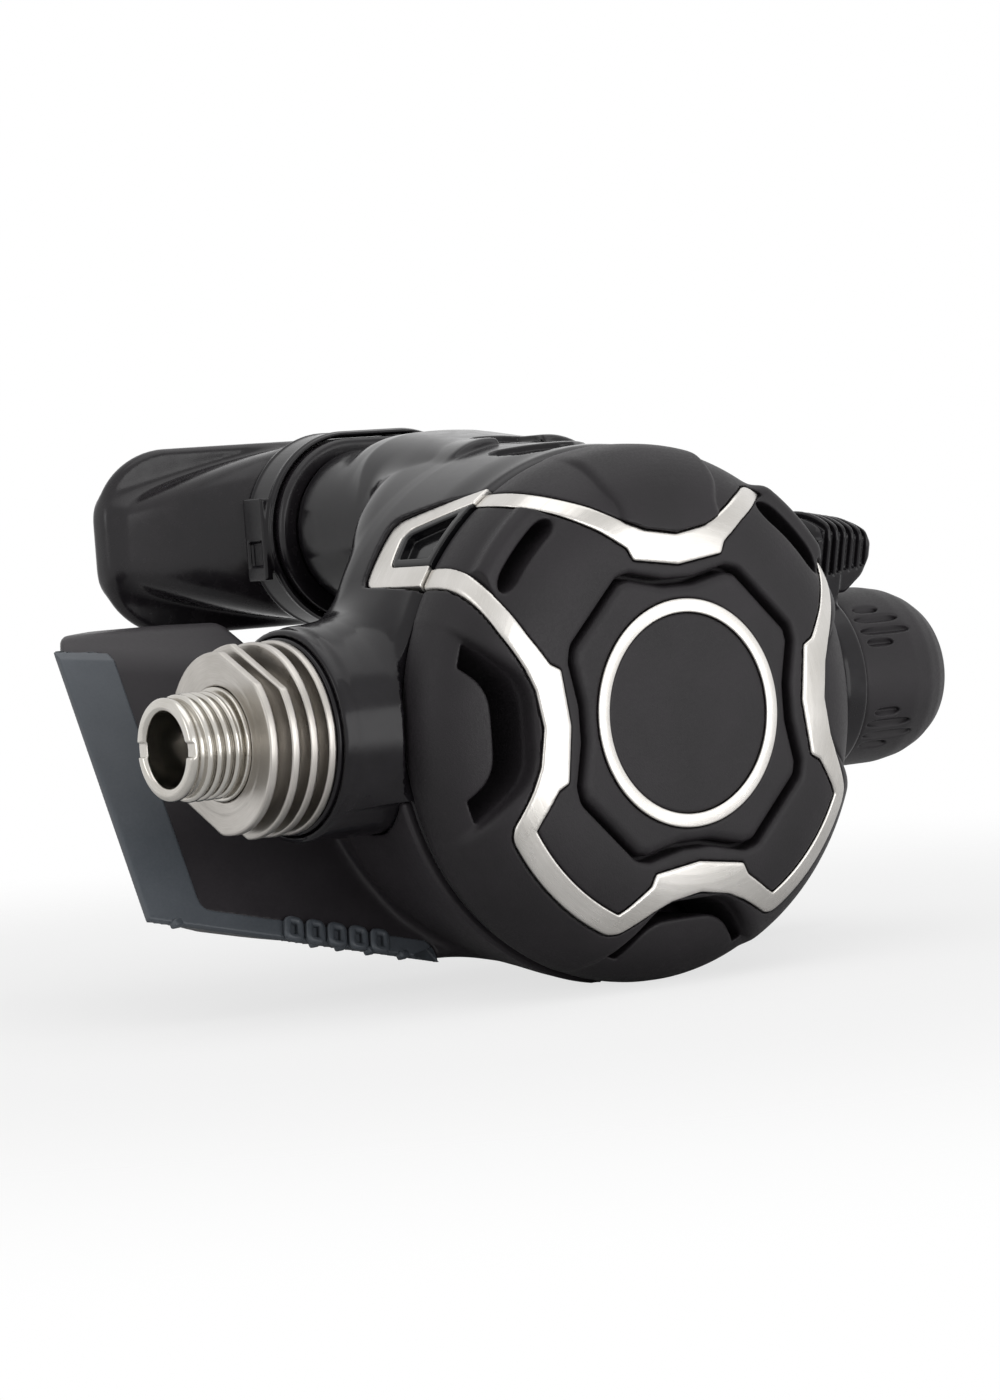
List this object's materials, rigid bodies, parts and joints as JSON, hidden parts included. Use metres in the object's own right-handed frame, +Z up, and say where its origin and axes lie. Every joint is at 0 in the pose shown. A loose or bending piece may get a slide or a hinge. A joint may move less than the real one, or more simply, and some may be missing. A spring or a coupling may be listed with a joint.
{
  "type": "demand regulator second stage",
  "caption": "Breathing regulator second stage: round case with purge cover, finned hose inlet, effort knob, flow lever, bite mouthpiece and wide exhaust tee.",
  "frame": {"origin": "on the hose thread's axis, half way along the 8 mm of thread", "axes": "+X from the hose inlet along the valve barrel to the knob, +Y from the purge button back to the mouthpiece, +Z up, towards the mouthpiece's side of the case"},
  "size_m": [0.1293, 0.1056, 0.0788],
  "materials": {
    "case_plastic": "moulded, glossy",
    "cover_plastic": "fine grained, matte",
    "trim_steel": "brushed",
    "window_plastic": "polished",
    "nickel_bright": "bright nickel plate over brass",
    "nickel_satin": "satin nickel plate over brass",
    "brass_body": "machined",
    "stainless": "drawn and stamped",
    "seal_rubber": "moulded",
    "silicone": "moulded, satin",
    "inner_plastic": "moulded",
    "tee_plastic": "satin",
    "tee_border": "satin"
  },
  "bodies": {
    "housing": {"case": "case_plastic", "front_cover": "cover_plastic", "cover_trim": "trim_steel", "case_trim_frame": "trim_steel", "side_window": "window_plastic", "inlet_fitting": "nickel_bright", "heat_exchanger": "nickel_satin", "boss_ring": "case_plastic", "valve_barrel": "brass_body", "barrel_nut": "nickel_satin", "valve_orifice": "stainless", "orifice_o_ring": "seal_rubber", "inlet_o_ring": "seal_rubber", "purge_spring": "stainless", "diaphragm": "silicone", "diaphragm_retainer": "inner_plastic", "poppet_spring": "stainless", "exhaust_valve": "silicone", "exhaust_tee": "tee_plastic", "tee_trim": "tee_border", "mouthpiece": "silicone", "mouthpiece_clamp": "case_plastic"},
    "purge": {"purge_button": "cover_plastic", "purge_ring": "trim_steel"},
    "diaphragm_centre": {"diaphragm_plate": "stainless"},
    "lever": {"demand_lever": "stainless", "lever_pin": "stainless"},
    "poppet_valve": {"poppet": "inner_plastic", "low_pressure_seat": "seal_rubber"},
    "knob": {"adjustment_knob": "cover_plastic", "knob_insert": "brass_body", "knob_screw": "stainless"},
    "adjuster": {"adjuster_screw": "nickel_satin", "adjuster_o_ring": "seal_rubber"},
    "venturi": {"venturi_lever": "case_plastic", "venturi_vane": "inner_plastic"}
  },
  "joints": [
    {"name": "purge_press", "type": "slide", "parent": "housing", "child": "purge", "axis": [0, 1, 0], "range_m": [0, 0.004], "stiffness_N_per_m": 800, "springref_m": -0.002, "deforming": ["purge_spring"]},
    {"name": "diaphragm_stroke", "type": "slide", "parent": "housing", "child": "diaphragm_centre", "axis": [0, 1, 0], "range_m": [0, 0.004]},
    {"name": "lever_swing", "type": "hinge", "parent": "housing", "child": "lever", "pos_m": [0.0755, -0.0056, 0], "axis": [0, 0, 1], "range_deg": [-14.4, 0]},
    {"name": "poppet_slide", "type": "slide", "parent": "housing", "child": "poppet_valve", "axis": [1, 0, 0], "range_m": [0, 0.0012], "deforming": ["poppet_spring"]},
    {"name": "knob_turn", "type": "hinge", "parent": "housing", "child": "knob", "pos_m": [0.115, 0, 0], "axis": [1, 0, 0], "range_deg": [-360, 360]},
    {"name": "adjuster_travel", "type": "slide", "parent": "knob", "child": "adjuster", "axis": [1, 0, 0], "range_m": [-0.001, 0.001]},
    {"name": "venturi_turn", "type": "hinge", "parent": "housing", "child": "venturi", "pos_m": [0.102, 0, 0], "axis": [1, 0, 0], "range_deg": [-50, 0]}
  ],
  "couplings": [
    {"joint": "diaphragm_stroke", "follows": "purge_press", "ratio": 1},
    {"joint": "lever_swing", "follows": "purge_press", "rad_per_m": -62.5},
    {"joint": "poppet_slide", "follows": "purge_press", "ratio": 0.3},
    {"joint": "knob_turn", "follows": "adjuster_travel", "rad_per_m": 6283.2}
  ]
}
